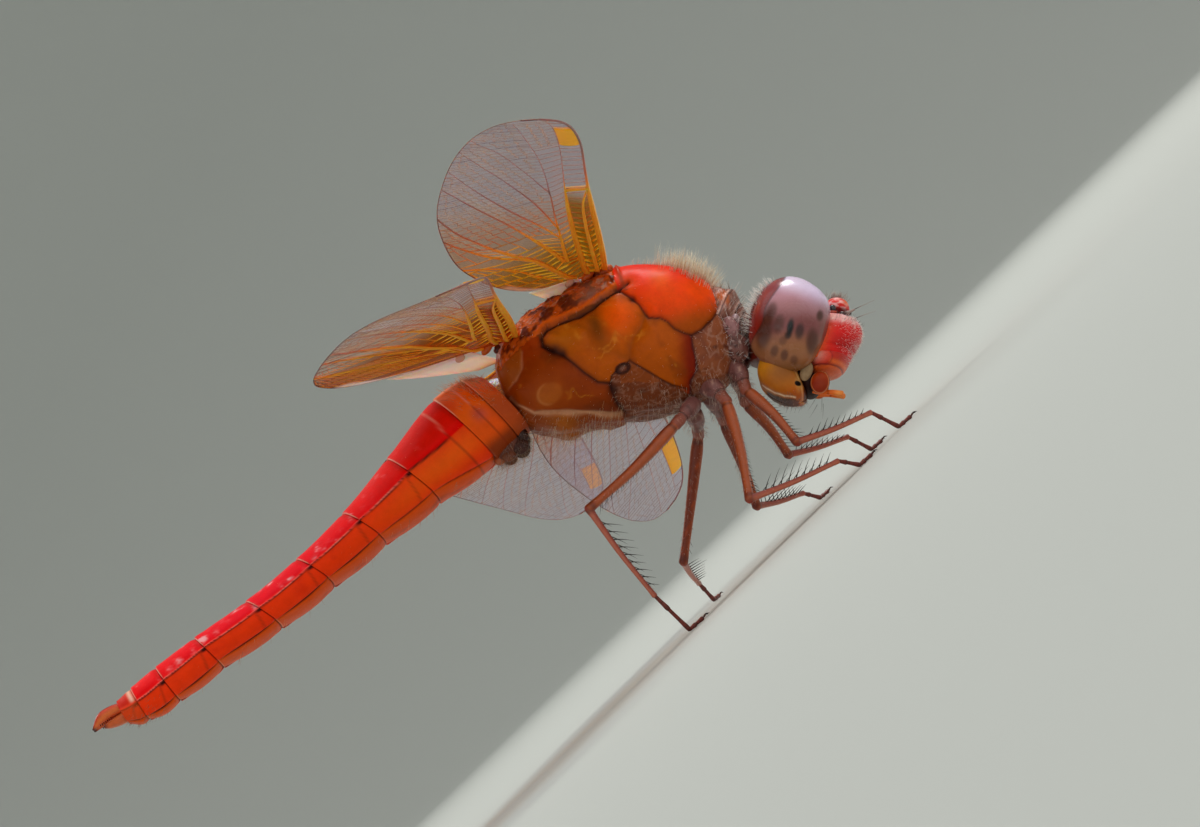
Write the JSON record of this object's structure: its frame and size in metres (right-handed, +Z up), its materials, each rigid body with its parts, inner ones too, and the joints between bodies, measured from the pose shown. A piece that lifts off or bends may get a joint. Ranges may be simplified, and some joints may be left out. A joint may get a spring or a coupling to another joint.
{
  "type": "dragonfly",
  "caption": "Life-size skimmer dragonfly standing on its six feet with its wings spread, as a still natural-history model.",
  "frame": {"origin": "on the floor under the middle of the box that holds the whole insect", "axes": "+X toward the head, +Y to the insect's left, +Z up"},
  "size_m": [0.0582, 0.0892, 0.0315],
  "materials": {
    "red_cuticle": "smooth glossy red-orange insect cuticle",
    "orange_cuticle": "waxy orange cuticle with dark seams",
    "amber_cuticle": "amber-brown cuticle under short pale hair",
    "eye": "polished mauve-brown compound eye",
    "dark_cuticle": "red-brown cuticle with black spines",
    "wing_membrane": "clear membrane, amber toward the hinge, in a net of orange veins"
  },
  "bodies": {
    "root": {"abdomen_01": "red_cuticle", "abdomen_02": "red_cuticle", "abdomen_03": "red_cuticle", "abdomen_04": "red_cuticle", "abdomen_05": "red_cuticle", "abdomen_06": "red_cuticle", "abdomen_07": "red_cuticle", "abdomen_08": "red_cuticle", "abdomen_09": "red_cuticle", "abdomen_10": "red_cuticle", "antenna_left": "dark_cuticle", "antenna_right": "dark_cuticle", "cercus_left": "dark_cuticle", "cercus_right": "dark_cuticle", "coxa_front_left": "amber_cuticle", "coxa_front_right": "amber_cuticle", "coxa_hind_left": "amber_cuticle", "coxa_hind_right": "amber_cuticle", "coxa_middle_left": "amber_cuticle", "coxa_middle_right": "amber_cuticle", "epiproct": "dark_cuticle", "eye_left": "eye", "eye_right": "eye", "femur_front_left": "red_cuticle", "femur_front_right": "red_cuticle", "femur_hind_left": "red_cuticle", "femur_hind_right": "red_cuticle", "femur_middle_left": "red_cuticle", "femur_middle_right": "red_cuticle", "forewing_left": "wing_membrane", "forewing_right": "wing_membrane", "hamules": "dark_cuticle", "head": "red_cuticle", "hindwing_left": "wing_membrane", "hindwing_right": "wing_membrane", "labium": "amber_cuticle", "labrum": "orange_cuticle", "mandible_left": "orange_cuticle", "mandible_right": "orange_cuticle", "neck": "amber_cuticle", "palp_left": "amber_cuticle", "palp_right": "amber_cuticle", "prothorax": "amber_cuticle", "tarsus_front_left": "dark_cuticle", "tarsus_front_right": "dark_cuticle", "tarsus_hind_left": "dark_cuticle", "tarsus_hind_right": "dark_cuticle", "tarsus_middle_left": "dark_cuticle", "tarsus_middle_right": "dark_cuticle", "thorax": "orange_cuticle", "tibia_front_left": "dark_cuticle", "tibia_front_right": "dark_cuticle", "tibia_hind_left": "dark_cuticle", "tibia_hind_right": "dark_cuticle", "tibia_middle_left": "dark_cuticle", "tibia_middle_right": "dark_cuticle", "vertex": "red_cuticle"}
  },
  "joints": []
}
